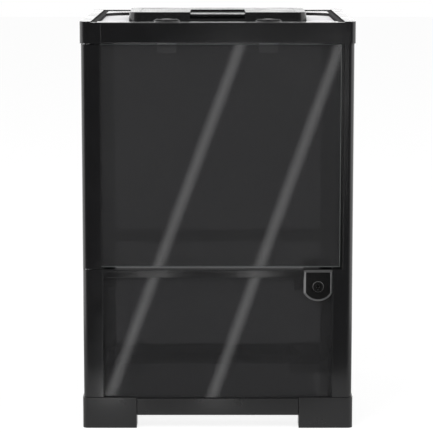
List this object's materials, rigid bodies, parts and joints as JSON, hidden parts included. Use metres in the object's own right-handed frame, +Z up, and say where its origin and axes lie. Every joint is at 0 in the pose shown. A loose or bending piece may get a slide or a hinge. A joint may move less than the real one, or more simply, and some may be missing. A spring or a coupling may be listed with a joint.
{
  "type": "glass terrarium",
  "caption": "Framed glass terrarium with a swing door above a fixed pane, a keyed lock, and a lift-off screen cover with a feeding hatch.",
  "frame": {"origin": "middle of the footprint, on the surface that the feet stand on", "axes": "+Z up; +X to the right seen from the door; +Y to the back, so the door faces -Y"},
  "size_m": [0.2, 0.2, 0.3045],
  "materials": {
    "frame_plastic": "glossy black",
    "base_plastic": "satin black",
    "fitting_plastic": "satin black",
    "keeper_plastic": "matte grey",
    "blackened_metal": "blackened",
    "smoked_glass": "clear polished, smoked",
    "steel_mesh": "woven wire",
    "lock_steel": "plated"
  },
  "bodies": {
    "frame": {"back_lower_glass": "smoked_glass", "back_middle_rail": "frame_plastic", "back_upper_glass": "smoked_glass", "base_rail_back": "base_plastic", "base_rail_front": "base_plastic", "base_rail_left": "base_plastic", "base_rail_right": "base_plastic", "floor_glass": "smoked_glass", "foot_back_left": "base_plastic", "foot_back_right": "base_plastic", "foot_front_left": "base_plastic", "foot_front_right": "base_plastic", "front_middle_rail": "frame_plastic", "latch_keeper_back_left": "keeper_plastic", "latch_keeper_back_right": "keeper_plastic", "latch_keeper_front_left": "keeper_plastic", "latch_keeper_front_right": "keeper_plastic", "left_side_glass": "smoked_glass", "lock_housing": "frame_plastic", "lock_nut": "lock_steel", "lower_front_glass": "smoked_glass", "lower_hinge_pin": "lock_steel", "post_back_left": "frame_plastic", "post_back_right": "frame_plastic", "post_front_left": "frame_plastic", "post_front_right": "frame_plastic", "right_side_glass": "smoked_glass", "top_corner_back_left": "frame_plastic", "top_corner_back_right": "frame_plastic", "top_corner_front_left": "frame_plastic", "top_corner_front_right": "frame_plastic", "top_rail_back": "frame_plastic", "top_rail_front": "frame_plastic", "top_rail_left": "frame_plastic", "top_rail_right": "frame_plastic", "upper_hinge_pin": "lock_steel"},
    "door": {"door_glass": "smoked_glass", "door_hinge_stile": "frame_plastic", "door_strike": "frame_plastic"},
    "lock": {"lock_cylinder": "blackened_metal", "lock_cam": "lock_steel", "cam_screw": "lock_steel"},
    "cover": {"cover_frame": "frame_plastic", "cover_mesh": "steel_mesh", "hatch_frame": "fitting_plastic", "hatch_pins": "lock_steel"},
    "hatch": {"hatch_lid": "fitting_plastic"},
    "plug_left": {"cable_plug_left": "fitting_plastic"},
    "plug_right": {"cable_plug_right": "fitting_plastic"},
    "latch_front_left": {"latch_knob_front_left": "fitting_plastic", "latch_tongue_front_left": "fitting_plastic"},
    "latch_front_right": {"latch_knob_front_right": "fitting_plastic", "latch_tongue_front_right": "fitting_plastic"},
    "latch_back_left": {"latch_knob_back_left": "fitting_plastic", "latch_tongue_back_left": "fitting_plastic"},
    "latch_back_right": {"latch_knob_back_right": "fitting_plastic", "latch_tongue_back_right": "fitting_plastic"}
  },
  "joints": [
    {"name": "door_swing", "type": "hinge", "parent": "frame", "child": "door", "pos_m": [-0.0952, -0.0952, 0.119], "axis": [0, 0, -1], "range_deg": [0, 110]},
    {"name": "lock_turn", "type": "hinge", "parent": "frame", "child": "lock", "pos_m": [0.0738, -0.095, 0.1064], "axis": [0, 1, 0], "range_deg": [0, 90]},
    {"name": "cover_lift", "type": "slide", "parent": "frame", "child": "cover", "axis": [0, 0, 1], "range_m": [0, 0.06]},
    {"name": "hatch_swing", "type": "hinge", "parent": "cover", "child": "hatch", "pos_m": [0, 0.0252, 0.3027], "axis": [-1, 0, 0], "range_deg": [0, 100]},
    {"name": "latch_turn_front_left", "type": "hinge", "parent": "cover", "child": "latch_front_left", "pos_m": [-0.037, -0.086, 0.2994], "axis": [0, 0, 1], "range_deg": [0, 90]},
    {"name": "latch_turn_front_right", "type": "hinge", "parent": "cover", "child": "latch_front_right", "pos_m": [0.037, -0.086, 0.2994], "axis": [0, 0, 1], "range_deg": [0, 90]},
    {"name": "latch_turn_back_left", "type": "hinge", "parent": "cover", "child": "latch_back_left", "pos_m": [-0.037, 0.086, 0.2994], "axis": [0, 0, 1], "range_deg": [0, 90]},
    {"name": "latch_turn_back_right", "type": "hinge", "parent": "cover", "child": "latch_back_right", "pos_m": [0.037, 0.086, 0.2994], "axis": [0, 0, 1], "range_deg": [0, 90]},
    {"name": "plug_pull_left", "type": "slide", "parent": "cover", "child": "plug_left", "axis": [0, 0, 1], "range_m": [0, 0.012]},
    {"name": "plug_pull_right", "type": "slide", "parent": "cover", "child": "plug_right", "axis": [0, 0, 1], "range_m": [0, 0.012]}
  ]
}
